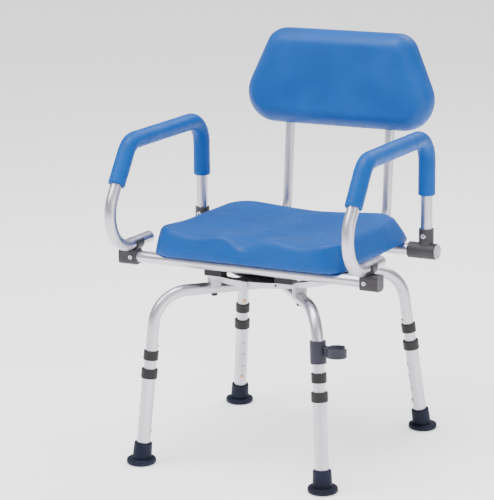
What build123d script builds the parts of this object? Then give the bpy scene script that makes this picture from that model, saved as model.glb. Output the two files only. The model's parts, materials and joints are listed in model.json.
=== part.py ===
"""Swivelling bath seat: a padded seat and back with swing-up arms, turning on a
ring above a frame with four legs that lengthen in steps.

Millimetres, +Z up, front towards -Y. The floor is z = 0 and the origin is under
the middle of the whole seat's box.
"""
import os
from math import atan, cos, degrees, radians, sin, sqrt, tan

from build123d import *

os.makedirs("parts", exist_ok=True)

# ---- driving dimensions ---------------------------------------------------

AXIS_Y = -29.16  # the swivel axis stands at x = 0, y = AXIS_Y
GAP = 0.3  # between curved faces that belong to different bodies
SNUG = 0.05  # between a plug and the bore that it fills
CUT = 80.0  # long enough to cut right through any piece here

# frame tubes
TUBE_R = 11.1
WALL = 1.5
FRAME_Z = 328.0  # centre line of the crossing tubes
BEND_R = 66.0
FRAME_END_Z = 203.0  # the frame's own tubes end here, inside their collars
COPE_DEPTH = 4.0  # how far a half tube runs into the main tube before it is cut to fit

# legs: direction of each leg in plan, radius of its axis on the floor, splay
FRONT_LEG_ANGLE = 48.3
REAR_LEG_ANGLE = 46.6
FRONT_FOOT_RADIUS = 285.0
REAR_FOOT_RADIUS = 297.0
FRONT_SPLAY = 0.110
REAR_SPLAY = 0.150
HOLE_PITCH = 25.4
HOLE_COUNT = 4
FIRST_HOLE_Z = 62.5
HOLE_R = 3.7
BUTTON_R = 3.3
BUTTON_PROUD = 2.2
BUTTON_INSIDE = 5.5
BUTTON_ROUND = 1.6
TOP_BUTTON_Z = 227.0
OUTER_TUBE_R = 12.7
INNER_END_Z = 40.0
PLUG_TOP_Z = 262.0
PLUG_R = TUBE_R - WALL - SNUG
SHOULDER = 4.0
FRAME_COLLAR_R = 14.2
FRAME_COLLAR_Z = (201.0, 219.0)
LEG_COLLAR_R = 15.5
LEG_COLLAR_Z = (166.0, 184.0)
COLLAR_LIP = 3.0
COLLAR_ROUND = 1.2
RUN_FIT = 0.08

# rubber feet
FOOT_H = 42.0
FOOT_TOP_R = 17.0
FOOT_NECK_R = 18.5
FLANGE_R = 28.0
FLANGE_H = 12.0
FLANGE_ROUND = 4.0
FLANGE_CHAMFER = 2.2
FOOT_LIP_ROUND = 2.4
TREAD_R = 23.0
TREAD_H = 1.2
FOOT_SOCKET_Z = 10.0  # the sliding tube stands on rubber at this height

# swivel ring
RING_R = 144.0
RING_LOW_Z = 347.5
RING_TOP_Z = 358.0
RING_WALL = 3.0
LEDGE_R = 122.0
GLIDE_T = 2.0
PLATE_R = RING_R - RING_WALL - 0.6
PLATE_T = 4.0
PLATE_IN_R = 86.0
PLATE_LIP = 3.0
PLATE_SCREW_R = 132.0
SLOT_R = 110.0  # middle of the plate's four curved slots
SLOT_WIDE = 24.0
SLOT_ARC = 36.0
FIRST_SLOT_ANGLE = 230.0
EAR_X = 73.0
EAR_SIZE = (38.0, 26.0)
EAR_INWARD = 11.0  # how far an ear's middle lies inward of its rail
EAR_DROP = 5.0  # an ear's top, below the rails' centre line
SADDLE_R = 134.0
SADDLE_SIZE = (20.0, 24.0)
SADDLE_ROUND = 3.0
SADDLE_BOLT_R = 6.0
SADDLE_BOLT_H = 5.0
HOOP_BLOCK = (11.0, 6.0)
HOOP_RIDGE = (2.4, 5.0)
HOOP_RIDGE_X = 4.0
HOOP_BLOCK_OVER = 0.5  # how far the joint block stands past the hoop, above and below
DRAIN_HOLE_ANGLE = 23.0
DRAIN_HOLE_R = 2.2

# rails under the seat
RAIL_Y = 135.0
RAIL_Z = 381.0
FRONT_RAIL_HALF = 262.0
REAR_RAIL_HALF = 263.0
END_CAP_R = 13.5
END_CAP_T = 4.0
PLUG_LENGTH = 12.0

# seat pad
SEAT_LOW_Z = RAIL_Z + TUBE_R + 0.1
SEAT_RIM = 48.0
SEAT_HALF = 199.0
SEAT_FRONT = -160.0
SEAT_REAR = 186.0
SEAT_CORNER = 42.0
SEAT_TAPER = 20.0
SEAT_SIDE = 22.0
BOARD_T = 5.0
BOARD_INSET = 12.0
DISH_RIM = 26.0
DISH_DEPTH = 9.0
NOTCH_Z = SEAT_LOW_Z + SEAT_RIM + 18.0
NOTCH_SIZE = (46.0, 35.0)
NOTCH_LENGTH = 62.0

# arms
ARM_X = 241.5
SLEEVE_R = 16.5
BARREL_R = 15.5
BARREL_X = 208.0  # inner end of the barrel on the rear rail
BARREL_LENGTH = 54.0
SOCKET_R = 14.3
SOCKET_TOP_Z = 424.0
TEE_SCREW_Z = 411.5
CRADLE_Z = RAIL_Z + 26.0  # centre of the arm's free end in its clip
CRADLE_R = 14.8
CRADLE_LENGTH = 20.0
CRADLE_SIDE = 7.0  # how far the cradle's upright sides rise past the tube's centre
CRADLE_SHIFT = 5.0
CLIP_X = 232.0  # inner face of the block on the rail
CLIP_LENGTH = 36.0
CLIP_SIZE = (30.0, 28.0)
CLIP_CORNER = 7.0
CLIP_NECK = (18.0, 16.0)
ARM_REAR_Y = 137.0

# back
POST_R = 9.5
POST_X = 108.5
POST_BEND_R = 55.0
LEAN = 5.4
POST_REF_Y = 251.0
POST_REF_Z = 423.0
POST_TOP_Z = 735.0
POST_START_Y = RAIL_Y + TUBE_R + 6.0  # a post's lower end, in its socket
SOCKET_SIZE = (30.0, 25.6)
SOCKET_START_Y = RAIL_Y - 15.0
SOCKET_LENGTH = 60.0
SOCKET_CORNER = 5.0
SOCKET_MIDDLE_Z = RAIL_Z + TUBE_R - 1.5 - SOCKET_SIZE[1] / 2
BACK_OFF = POST_R + 3.0  # rear face of the back pad, behind the posts' axis
BACK_BOARD_T = 3.5
BACK_SCREW_Z = (625.0, 705.0)
PAD_LOW_Z = 583.0
PAD_TOP_Z = 772.0
PAD_LOW_HALF = 231.0  # half widths of the pad's trapezoid, before its corners are rounded
PAD_TOP_HALF = 146.5
PAD_LOW_CORNER = 61.0
PAD_TOP_CORNER = 42.0
PAD_FRONT = 42.0
PAD_BEVEL = 19.0

# shower holder
HOLDER_Z = (236.0, 277.0)
HOLDER_SLEEVE_R = 15.0
HOLDER_ARM = 37.0
HOLDER_RING_R = 19.0
HOLDER_BORE_R = 15.0
HOLDER_BAND = 17.0
HOLDER_BAND_RISE = 4.0  # how far the ring's middle stands above the sleeve's
HOLDER_WEB = 9.0
HOLDER_MOUTH = 18.0
HOLDER_MOUTH_TURN = 35.0
HOLDER_SLIT = 9.0

CORNERS = {
    "fl": (-1, -1),
    "fr": (1, -1),
    "rl": (-1, 1),
    "rr": (1, 1),
}
SIDES = {"left": -1, "right": 1}


# ---- helpers ----------------------------------------------------------------

def axis_point(x, y, z):
    """A point given from the swivel axis."""
    return Vector(x, AXIS_Y + y, z)


def save(part, name):
    part.label = name
    export_step(part, f"parts/{name}.step")


def leg_numbers(corner):
    side, end = CORNERS[corner]
    front = end < 0
    angle = radians(FRONT_LEG_ANGLE if front else REAR_LEG_ANGLE)
    radius = FRONT_FOOT_RADIUS if front else REAR_FOOT_RADIUS
    splay = FRONT_SPLAY if front else REAR_SPLAY
    return side * cos(angle), end * sin(angle), radius, splay


def leg_point(corner, z):
    """The point of a leg's axis at height z."""
    dx, dy, radius, splay = leg_numbers(corner)
    r = radius - splay * z
    return axis_point(dx * r, dy * r, z)


def leg_down(corner):
    dx, dy, _, splay = leg_numbers(corner)
    return Vector(dx * splay, dy * splay, -1).normalized()


def leg_inward(corner):
    """Square to the leg, towards the middle of the seat."""
    dx, dy, _, splay = leg_numbers(corner)
    return Vector(-dx, -dy, -splay).normalized()


def leg_plane(corner, z):
    """A plane square to the leg at height z; its x axis points inward."""
    return Plane(leg_point(corner, z), x_dir=leg_inward(corner), z_dir=-leg_down(corner))


def leg_length(corner, low_z, high_z):
    return (high_z - low_z) / -leg_down(corner).Z


def tube_along(plane, outer, inner, length):
    """A round tube from a plane, along its normal."""
    with BuildPart() as tube:
        with BuildSketch(plane):
            Circle(outer)
            if inner > 0:
                Circle(inner, mode=Mode.SUBTRACT)
        extrude(amount=length)
    return tube.part


def swept_tube(points, radii, outer, inner):
    """A round tube whose centre line is straight runs joined by arcs."""
    with BuildPart() as tube:
        with BuildLine() as route:
            FilletPolyline(*points, radius=radii)
        path = route.wires()[0]
        with BuildSketch(Plane(path @ 0, z_dir=path % 0)):
            Circle(outer)
            if inner > 0:
                Circle(inner, mode=Mode.SUBTRACT)
        sweep(path=path)
    return tube.part


# ---- base frame ---------------------------------------------------------------

def frame_corner(corner):
    return leg_point(corner, FRAME_Z)


def make_base_tubes():
    """One bent tube from front left to rear right, and two half tubes welded to it."""
    main = swept_tube(
        [leg_point("fl", FRAME_END_Z), frame_corner("fl"), frame_corner("rr"), leg_point("rr", FRAME_END_Z)],
        [BEND_R, BEND_R],
        TUBE_R,
        TUBE_R - WALL,
    )
    with BuildPart() as base_tube_main:
        add(main)
        for corner in ("fl", "rr"):
            with BuildSketch(button_plane(corner, TOP_BUTTON_Z)):
                Circle(HOLE_R)
            extrude(amount=2 * TUBE_R, mode=Mode.SUBTRACT)
    save(base_tube_main.part, "base_tube_main")

    start, end = frame_corner("fl"), frame_corner("rr")
    middle = (start + end) * 0.5
    for corner, name in (("fr", "base_tube_front"), ("rl", "base_tube_rear")):
        outward = (frame_corner(corner) - middle).normalized()
        branch = swept_tube(
            [middle + outward * (TUBE_R - COPE_DEPTH), frame_corner(corner), leg_point(corner, FRAME_END_Z)],
            [BEND_R],
            TUBE_R,
            TUBE_R - WALL,
        )
        with BuildPart() as base_tube_branch:
            add(branch)
            with BuildSketch(button_plane(corner, TOP_BUTTON_Z)):
                Circle(HOLE_R)
            extrude(amount=2 * TUBE_R, mode=Mode.SUBTRACT)
            # the end is coped to the round of the main tube
            with BuildSketch(Plane(start, z_dir=end - start)):
                Circle(TUBE_R)
            extrude(amount=(end - start).length, mode=Mode.SUBTRACT)
        save(base_tube_branch.part, name)


def button_plane(corner, z):
    """On the leg's axis, looking inward, for a round hole through one wall."""
    return Plane(leg_point(corner, z), z_dir=leg_inward(corner))


# ---- legs ---------------------------------------------------------------------

def make_inner_leg_tube(corner):
    """Plain tube with a narrower top that plugs into the frame's tube."""
    with BuildPart() as inner_leg_tube:
        with BuildSketch(leg_plane(corner, INNER_END_Z)):
            Circle(TUBE_R)
            Circle(TUBE_R - WALL, mode=Mode.SUBTRACT)
        extrude(amount=leg_length(corner, INNER_END_Z, FRAME_END_Z))
        with BuildSketch(leg_plane(corner, FRAME_END_Z - SHOULDER)):
            Circle(TUBE_R)
            Circle(PLUG_R - WALL, mode=Mode.SUBTRACT)
        extrude(amount=leg_length(corner, FRAME_END_Z - SHOULDER, FRAME_END_Z))
        with BuildSketch(leg_plane(corner, FRAME_END_Z)):
            Circle(PLUG_R)
            Circle(PLUG_R - WALL, mode=Mode.SUBTRACT)
        extrude(amount=leg_length(corner, FRAME_END_Z, PLUG_TOP_Z))
        for z in (FIRST_HOLE_Z, TOP_BUTTON_Z):
            with BuildSketch(button_plane(corner, z)):
                Circle(HOLE_R)
            extrude(amount=2 * TUBE_R, mode=Mode.SUBTRACT)
    save(inner_leg_tube.part, f"inner_leg_tube_{corner}")


def make_button(corner, z, wall_r, name):
    """A domed spring button that stands out through the hole in the tube's wall."""
    inside = wall_r - BUTTON_INSIDE
    tip = wall_r + BUTTON_PROUD
    with BuildPart() as button:
        with BuildSketch(button_plane(corner, z).offset(inside)):
            Circle(BUTTON_R)
        extrude(amount=tip - inside)
        fillet(far_edge(button.part, leg_point(corner, z)), radius=BUTTON_ROUND)
    save(button.part, name)


def far_edge(part, point):
    """The round edge that lies furthest from a point."""
    rounds = part.edges().filter_by(GeomType.CIRCLE)
    return max(rounds, key=lambda e: (e.arc_center - point).length)


def make_lower_leg(corner):
    """The sliding tube, with one row of height holes facing inward."""
    with BuildPart() as lower_leg_tube:
        with BuildSketch(leg_plane(corner, FOOT_SOCKET_Z)):
            Circle(OUTER_TUBE_R)
            Circle(TUBE_R + RUN_FIT, mode=Mode.SUBTRACT)
        extrude(amount=leg_length(corner, FOOT_SOCKET_Z, LEG_COLLAR_Z[1] - COLLAR_LIP))
        for step in range(HOLE_COUNT):
            z = FIRST_HOLE_Z - step * HOLE_PITCH * leg_down(corner).Z
            with BuildSketch(button_plane(corner, z)):
                Circle(HOLE_R)
            extrude(amount=2 * OUTER_TUBE_R, mode=Mode.SUBTRACT)
    save(lower_leg_tube.part, f"lower_leg_tube_{corner}")


def make_leg_collar(corner):
    """Plastic collar on the top end of the sliding tube, with a lip over the end."""
    low, high = LEG_COLLAR_Z
    with BuildPart() as leg_collar:
        with BuildSketch(leg_plane(corner, low)):
            Circle(LEG_COLLAR_R)
            Circle(OUTER_TUBE_R, mode=Mode.SUBTRACT)
        extrude(amount=leg_length(corner, low, high - COLLAR_LIP))
        with BuildSketch(leg_plane(corner, high - COLLAR_LIP)):
            Circle(LEG_COLLAR_R)
            Circle(TUBE_R + GAP, mode=Mode.SUBTRACT)
        extrude(amount=leg_length(corner, high - COLLAR_LIP, high))
        outer = leg_collar.edges().filter_by(GeomType.CIRCLE).group_by(lambda e: round(e.radius, 2))[-1]
        fillet(outer, radius=COLLAR_ROUND)
    save(leg_collar.part, f"leg_collar_{corner}")


def make_frame_collars():
    """A plastic collar on the end of each frame tube."""
    low, high = FRAME_COLLAR_Z
    with BuildPart() as frame_collars:
        for corner in CORNERS:
            with BuildSketch(leg_plane(corner, FRAME_END_Z)):
                Circle(FRAME_COLLAR_R)
                Circle(TUBE_R, mode=Mode.SUBTRACT)
            extrude(amount=leg_length(corner, FRAME_END_Z, high))
            with BuildSketch(leg_plane(corner, low)):
                Circle(FRAME_COLLAR_R)
                Circle(TUBE_R, mode=Mode.SUBTRACT)
            extrude(amount=leg_length(corner, low, FRAME_END_Z))
        outer = frame_collars.edges().filter_by(GeomType.CIRCLE)
        rims = [e for e in outer if abs(e.radius - FRAME_COLLAR_R) < 0.01 and is_rim(e, low, high)]
        fillet(rims, radius=COLLAR_ROUND)
    save(frame_collars.part, "frame_collars")


def is_rim(edge, low, high):
    z = edge.arc_center.Z
    return abs(z - low) < 0.5 or abs(z - high) < 0.5


def make_foot(corner):
    """Rubber foot: a sleeve in line with the leg on a flat round flange."""
    base = Plane(leg_point(corner, 0), z_dir=(0, 0, 1))
    sleeve_low = FLANGE_H / 2
    sleeve_h = leg_length(corner, sleeve_low, FOOT_H)
    with BuildPart() as foot:
        with BuildSketch(base.offset(TREAD_H)):
            Circle(FLANGE_R)
        extrude(amount=FLANGE_H - TREAD_H)
        fillet(foot.edges().group_by(Axis.Z)[-1], radius=FLANGE_ROUND)
        chamfer(foot.edges().group_by(Axis.Z)[0], length=FLANGE_CHAMFER)
        with BuildSketch(base):
            Circle(TREAD_R)
        extrude(amount=TREAD_H)
        with BuildSketch(leg_plane(corner, sleeve_low)):
            Circle(FOOT_NECK_R)
        extrude(amount=sleeve_h, taper=degrees(atan((FOOT_NECK_R - FOOT_TOP_R) / sleeve_h)))
        fillet(foot.edges().filter_by(GeomType.CIRCLE).sort_by(Axis.Z)[-1], radius=FOOT_LIP_ROUND)
        with BuildSketch(leg_plane(corner, FOOT_SOCKET_Z)):
            Circle(OUTER_TUBE_R)
        extrude(amount=sleeve_h, mode=Mode.SUBTRACT)
    save(foot.part, f"foot_{corner}")


# ---- shower holder --------------------------------------------------------------

def make_shower_holder():
    """A split sleeve clipped on the front right tube, with an open ring beside it."""
    low, high = HOLDER_Z
    sleeve_length = leg_length("fr", low, high)
    ring_low = (low + high) / 2 - HOLDER_BAND / 2 + HOLDER_BAND_RISE
    ring_plane = Plane(leg_point("fr", ring_low), x_dir=(1, 0, 0), z_dir=(0, 0, 1))
    with BuildPart() as shower_holder:
        with BuildSketch(leg_plane("fr", low)):
            Circle(HOLDER_SLEEVE_R)
        extrude(amount=sleeve_length)
        with BuildSketch(ring_plane):
            with Locations((HOLDER_ARM, 0)):
                Circle(HOLDER_RING_R)
            with Locations((HOLDER_ARM / 2, 0)):
                Rectangle(HOLDER_ARM - TUBE_R + WALL, HOLDER_WEB)
        extrude(amount=HOLDER_BAND)
        # bore for the handle, open to the right and rear
        with BuildSketch(ring_plane):
            with Locations((HOLDER_ARM, 0)):
                Circle(HOLDER_BORE_R)
            with Locations(Location((HOLDER_ARM, 0), HOLDER_MOUTH_TURN)):
                with Locations((HOLDER_RING_R, 0)):
                    Rectangle(2 * HOLDER_RING_R, HOLDER_MOUTH)
        extrude(amount=HOLDER_BAND, mode=Mode.SUBTRACT)
        with BuildSketch(leg_plane("fr", low - 1)):
            Circle(TUBE_R)
        extrude(amount=CUT, mode=Mode.SUBTRACT)
        # the sleeve's own slit, at the back
        with BuildSketch(leg_plane("fr", low - 1)):
            with Locations((HOLDER_SLEEVE_R, 0)):
                Rectangle(HOLDER_SLEEVE_R + TUBE_R - GAP, HOLDER_SLIT)
        extrude(amount=CUT, mode=Mode.SUBTRACT)
    save(shower_holder.part, "shower_holder")


# ---- swivel ring ------------------------------------------------------------------

AXIS_PLANE = Plane((0, AXIS_Y, 0))


def make_swivel_hoop():
    """Fixed ring with an inward ledge, and a welded joint block at the front."""
    with BuildPart() as swivel_hoop:
        with BuildSketch(AXIS_PLANE.offset(RING_LOW_Z)):
            Circle(RING_R)
            Circle(LEDGE_R, mode=Mode.SUBTRACT)
        extrude(amount=WALL)
        with BuildSketch(AXIS_PLANE.offset(RING_LOW_Z)):
            Circle(RING_R)
            Circle(RING_R - RING_WALL, mode=Mode.SUBTRACT)
        extrude(amount=RING_TOP_Z - RING_LOW_Z)
        # small hole at the front, right of the joint block
        hole_out = Vector(sin(radians(DRAIN_HOLE_ANGLE)), -cos(radians(DRAIN_HOLE_ANGLE)), 0)
        hole_z = (RING_LOW_Z + WALL + RING_TOP_Z) / 2
        hole_start = axis_point(0, 0, hole_z) + hole_out * (RING_R - 2 * RING_WALL)
        with BuildSketch(Plane(hole_start, z_dir=hole_out)):
            Circle(DRAIN_HOLE_R)
        extrude(amount=3 * RING_WALL, mode=Mode.SUBTRACT)
    save(swivel_hoop.part, "swivel_hoop")
    with BuildPart() as hoop_joint:
        with BuildSketch(AXIS_PLANE.offset(RING_LOW_Z - HOOP_BLOCK_OVER)):
            with Locations((0, -RING_R - 1)):
                Rectangle(*HOOP_BLOCK)
            for x in (-HOOP_RIDGE_X, HOOP_RIDGE_X):
                with Locations((x, -RING_R - HOOP_BLOCK[1] / 2)):
                    Rectangle(*HOOP_RIDGE)
            Circle(RING_R, mode=Mode.SUBTRACT)
        extrude(amount=RING_TOP_Z - RING_LOW_Z + 2 * HOOP_BLOCK_OVER)
    save(hoop_joint.part, "hoop_joint")


def make_glide_ring():
    """Slippery ring on the hoop's ledge that the turning plate runs on."""
    with BuildPart() as glide_ring:
        with BuildSketch(AXIS_PLANE.offset(RING_LOW_Z + WALL)):
            Circle(RING_R - RING_WALL - 0.5)
            Circle(LEDGE_R + 1, mode=Mode.SUBTRACT)
        extrude(amount=GLIDE_T)
    save(glide_ring.part, "glide_ring")


def make_ring_saddles():
    """Blocks that sit over the tubes and carry the hoop."""
    tubes = frame_rounds()
    with BuildPart() as ring_saddles:
        for corner in CORNERS:
            with BuildSketch(saddle_plane(corner)):
                Rectangle(*SADDLE_SIZE)
            extrude(amount=RING_LOW_Z - FRAME_Z)
        fillet(ring_saddles.edges().filter_by(Axis.Z), radius=SADDLE_ROUND)
        add(tubes, mode=Mode.SUBTRACT)
    save(ring_saddles.part, "ring_saddles")


def saddle_plane(corner):
    at = frame_corner(corner)
    out = Vector(at.X, at.Y - AXIS_Y, 0).normalized()
    return Plane(axis_point(0, 0, FRAME_Z) + out * SADDLE_R, x_dir=out, z_dir=(0, 0, 1))


def frame_rounds():
    """Solid rounds where the four frame tubes run under the ring."""
    start, end = frame_corner("fl"), frame_corner("rr")
    middle = (start + end) * 0.5
    runs = [(start, end), (middle, frame_corner("fr")), (middle, frame_corner("rl"))]
    return [tube_along(Plane(low, z_dir=high - low), TUBE_R, 0, (high - low).length) for low, high in runs]


def make_saddle_bolts():
    """Round-headed bolts under the tubes that hold the saddles and the hoop."""
    tubes = frame_rounds()
    with BuildPart() as saddle_bolts:
        for corner in CORNERS:
            with BuildSketch(saddle_plane(corner).offset(-TUBE_R - SADDLE_BOLT_H)):
                Circle(SADDLE_BOLT_R)
            extrude(amount=SADDLE_BOLT_H + WALL)
        fillet(saddle_bolts.edges().group_by(Axis.Z)[0], radius=SADDLE_BOLT_R / 3)
        add(tubes, mode=Mode.SUBTRACT)
    save(saddle_bolts.part, "saddle_bolts")


# ---- turning plate and rails -------------------------------------------------------

def make_swivel_plate():
    """The turning plate: a slotted ring that lies in the hoop, with an ear under each end of a rail."""
    low = RING_LOW_Z + WALL + GLIDE_T + 0.1
    rim_top = RING_TOP_Z + 1.5
    with BuildPart() as swivel_plate:
        with BuildSketch(AXIS_PLANE.offset(low)):
            Circle(PLATE_R)
            Circle(PLATE_IN_R, mode=Mode.SUBTRACT)
            for quarter in range(4):
                middle = FIRST_SLOT_ANGLE + 90 * quarter
                with BuildLine():
                    slot_line = CenterArc((0, 0), SLOT_R, middle - SLOT_ARC / 2, SLOT_ARC)
                SlotArc(slot_line, SLOT_WIDE, mode=Mode.SUBTRACT)
        extrude(amount=PLATE_T)
        for outer, top in ((PLATE_R, rim_top), (PLATE_IN_R + PLATE_LIP, RING_TOP_Z)):
            with BuildSketch(AXIS_PLANE.offset(low)):
                Circle(outer)
                Circle(outer - PLATE_LIP, mode=Mode.SUBTRACT)
            extrude(amount=top - low)
        # ears that carry the rails: inside the hoop low down, wider above it
        for level, limit in ((low, PLATE_R), (rim_top, 2 * RING_R)):
            with BuildSketch(AXIS_PLANE.offset(level)):
                for x in (-EAR_X, EAR_X):
                    for y in (EAR_INWARD - RAIL_Y, RAIL_Y - EAR_INWARD):
                        with Locations((x, y)):
                            RectangleRounded(*EAR_SIZE, 4)
                Circle(limit, mode=Mode.INTERSECT)
            extrude(amount=RAIL_Z - EAR_DROP - level)
        for y in (-RAIL_Y, RAIL_Y):
            with BuildSketch(Plane(axis_point(-RING_R, y, RAIL_Z), z_dir=(1, 0, 0))):
                Circle(TUBE_R)
            extrude(amount=2 * RING_R, mode=Mode.SUBTRACT)
    save(swivel_plate.part, "swivel_plate")
    heads = []
    for angle in (0, 90, 180, 270):
        out = Vector(cos(radians(angle)), sin(radians(angle)), 0) * PLATE_SCREW_R
        heads.append(Plane(axis_point(out.X, out.Y, low + PLATE_T), z_dir=(0, 0, 1)))
    make_screws("plate_screws", heads, 4.5, 2.4, 0.0)


def make_rails():
    """Cross tubes under the front and rear of the seat."""
    for name, y, half in (("front_rail", -RAIL_Y, FRONT_RAIL_HALF), ("rear_rail", RAIL_Y, REAR_RAIL_HALF)):
        start = Plane(axis_point(-half, y, RAIL_Z), z_dir=(1, 0, 0))
        rail = tube_along(start, TUBE_R, TUBE_R - WALL, 2 * half)
        save(rail, name)


def make_rail_end_caps():
    """Plugs in the ends of the rear rail that keep the arm joints on."""
    with BuildPart() as rail_end_caps:
        for side in SIDES.values():
            rail_end = axis_point(side * REAR_RAIL_HALF, RAIL_Y, RAIL_Z)
            with BuildSketch(Plane(rail_end, z_dir=(side, 0, 0))):
                Circle(END_CAP_R)
            extrude(amount=END_CAP_T)
            with BuildSketch(Plane(rail_end, z_dir=(-side, 0, 0))):
                Circle(TUBE_R - WALL - SNUG)
            extrude(amount=PLUG_LENGTH)
    save(rail_end_caps.part, "rail_end_caps")


def make_front_clips():
    """Block on each end of the front rail, with an open cradle for the arm's free end."""
    screw_y = -RAIL_Y - CLIP_SIZE[1] / 2
    heads = [Plane(axis_point(side * ARM_X, screw_y, RAIL_Z), z_dir=(0, -1, 0)) for side in SIDES.values()]
    clip_screws = make_screws("clip_screws", heads, 4.6, 2.4, 2.6)
    cradle_y = -RAIL_Y + CRADLE_SHIFT
    with BuildPart() as front_clips:
        for side in SIDES.values():
            with BuildSketch(Plane(axis_point(side * CLIP_X, -RAIL_Y, RAIL_Z), z_dir=(side, 0, 0))):
                RectangleRounded(*CLIP_SIZE, CLIP_CORNER)
            extrude(amount=CLIP_LENGTH)
            with BuildSketch(Plane(axis_point(side * ARM_X, cradle_y, RAIL_Z), z_dir=(0, 0, 1))):
                RectangleRounded(*CLIP_NECK, 2)
            extrude(amount=CRADLE_Z - RAIL_Z - TUBE_R)
            # round cradle with upright sides, open upward
            start = axis_point(side * ARM_X, cradle_y - CRADLE_LENGTH / 2, CRADLE_Z)
            with BuildSketch(Plane(start, x_dir=(1, 0, 0), z_dir=(0, -1, 0))):
                Circle(CRADLE_R)
                with Locations((0, CRADLE_R + CRADLE_SIDE)):
                    Rectangle(3 * CRADLE_R, 2 * CRADLE_R, mode=Mode.SUBTRACT)
            extrude(amount=-CRADLE_LENGTH)
        for side in SIDES.values():
            # room for the arm's end, straight up out of the cradle
            clear = TUBE_R + GAP
            start = axis_point(side * ARM_X, cradle_y - 2 * CRADLE_LENGTH, CRADLE_Z)
            with BuildSketch(Plane(start, x_dir=(1, 0, 0), z_dir=(0, -1, 0))):
                Circle(clear)
                with Locations((0, CRADLE_R)):
                    Rectangle(2 * clear, 2 * CRADLE_R)
            extrude(amount=-4 * CRADLE_LENGTH, mode=Mode.SUBTRACT)
            # bore for the rail
            with BuildSketch(Plane(axis_point(side * FRONT_RAIL_HALF, -RAIL_Y, RAIL_Z), z_dir=(-side, 0, 0))):
                Circle(TUBE_R)
            extrude(amount=CUT, mode=Mode.SUBTRACT)
        add(clip_screws, mode=Mode.SUBTRACT)
    save(front_clips.part, "front_clips")


def make_screws(name, planes, head_r, head_h, depth):
    """Button-headed screws: each plane lies on the seat of a head and faces outward."""
    with BuildPart() as screws:
        for plane in planes:
            with BuildSketch(plane):
                Circle(head_r)
            extrude(amount=head_h, taper=18)
            if depth > 0:
                with BuildSketch(plane.offset(-depth)):
                    Circle(head_r * 0.5)
                extrude(amount=depth)
            with BuildSketch(plane.offset(head_h)):
                RegularPolygon(head_r * 0.4, 6)
            extrude(amount=-head_h * 0.6, mode=Mode.SUBTRACT)
    save(screws.part, name)
    return screws.part


# ---- seat ---------------------------------------------------------------------------

def rounded_seat(inset):
    """The seat's outline from above, drawn smaller by the inset."""
    wide = 2 * (SEAT_HALF - inset)
    deep = SEAT_REAR - SEAT_FRONT - 2 * inset
    with Locations((0, (SEAT_FRONT + SEAT_REAR) / 2)):
        RectangleRounded(wide, deep, SEAT_CORNER - inset * 0.4)


def make_seat():
    """Stiff board let into the underside of the pad, and the pad with its shallow dish."""
    with BuildPart() as seat_board:
        with BuildSketch(AXIS_PLANE.offset(SEAT_LOW_Z)):
            rounded_seat(BOARD_INSET)
        extrude(amount=BOARD_T)
    save(seat_board.part, "seat_board")
    with BuildPart() as seat_pad:
        with BuildSketch(AXIS_PLANE.offset(SEAT_LOW_Z)):
            rounded_seat(0)
        with BuildSketch(AXIS_PLANE.offset(SEAT_LOW_Z + SEAT_SIDE)):
            rounded_seat(2)
        with BuildSketch(AXIS_PLANE.offset(SEAT_LOW_Z + SEAT_RIM)):
            rounded_seat(SEAT_TAPER)
        loft(ruled=True)
        # dish
        with BuildSketch(AXIS_PLANE.offset(SEAT_LOW_Z + SEAT_RIM)):
            rounded_seat(SEAT_TAPER + DISH_RIM)
        extrude(amount=-DISH_DEPTH, taper=50, mode=Mode.SUBTRACT)
        # hollow between the thighs at the front edge
        with BuildSketch(Plane(axis_point(0, SEAT_FRONT - 5, NOTCH_Z), x_dir=(1, 0, 0), z_dir=(0, -1, 0))):
            Ellipse(*NOTCH_SIZE)
        extrude(amount=-NOTCH_LENGTH, mode=Mode.SUBTRACT)
        with BuildSketch(AXIS_PLANE.offset(SEAT_LOW_Z)):
            rounded_seat(BOARD_INSET)
        extrude(amount=BOARD_T, mode=Mode.SUBTRACT)
    save(seat_pad.part, "seat_pad")


# ---- back ---------------------------------------------------------------------------

def post_point(x, z, off=0.0):
    """On a post's axis at height z; off is measured square to the lean, to the rear."""
    y = POST_REF_Y + (z - POST_REF_Z) * tan(radians(LEAN))
    return axis_point(x, y + off * cos(radians(LEAN)), z - off * sin(radians(LEAN)))


def make_back_posts():
    """Tubes from under the seat, bent up behind it."""
    with BuildPart() as back_posts:
        for x in (-POST_X, POST_X):
            low = post_point(x, RAIL_Z)
            start = axis_point(x, POST_START_Y, RAIL_Z)
            with BuildLine() as route:
                FilletPolyline(start, low, post_point(x, POST_TOP_Z), radius=[POST_BEND_R])
            path = route.wires()[0]
            with BuildSketch(Plane(path @ 0, z_dir=path % 0)):
                Circle(POST_R)
                Circle(POST_R - WALL, mode=Mode.SUBTRACT)
            sweep(path=path)
    save(back_posts.part, "back_posts")
    with BuildPart() as post_sockets:
        for x in (-POST_X, POST_X):
            start = axis_point(x, SOCKET_START_Y, SOCKET_MIDDLE_Z)
            with BuildSketch(Plane(start, x_dir=(1, 0, 0), z_dir=(0, -1, 0))):
                RectangleRounded(*SOCKET_SIZE, SOCKET_CORNER)
            extrude(amount=-SOCKET_LENGTH)
            with BuildSketch(Plane(axis_point(x, POST_START_Y, RAIL_Z), z_dir=(0, 1, 0))):
                Circle(POST_R)
            extrude(amount=CUT, mode=Mode.SUBTRACT)
            with BuildSketch(Plane(axis_point(x - SOCKET_SIZE[0], RAIL_Y, RAIL_Z), z_dir=(1, 0, 0))):
                Circle(TUBE_R)
            extrude(amount=2 * SOCKET_SIZE[0], mode=Mode.SUBTRACT)
    save(post_sockets.part, "post_sockets")


def lean_plane(off):
    """Leaning plane of the back; local x is across, local y is up the lean."""
    base = post_point(0, PAD_LOW_Z, off)
    return Plane(base, x_dir=(1, 0, 0), z_dir=(0, -cos(radians(LEAN)), sin(radians(LEAN))))


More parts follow.
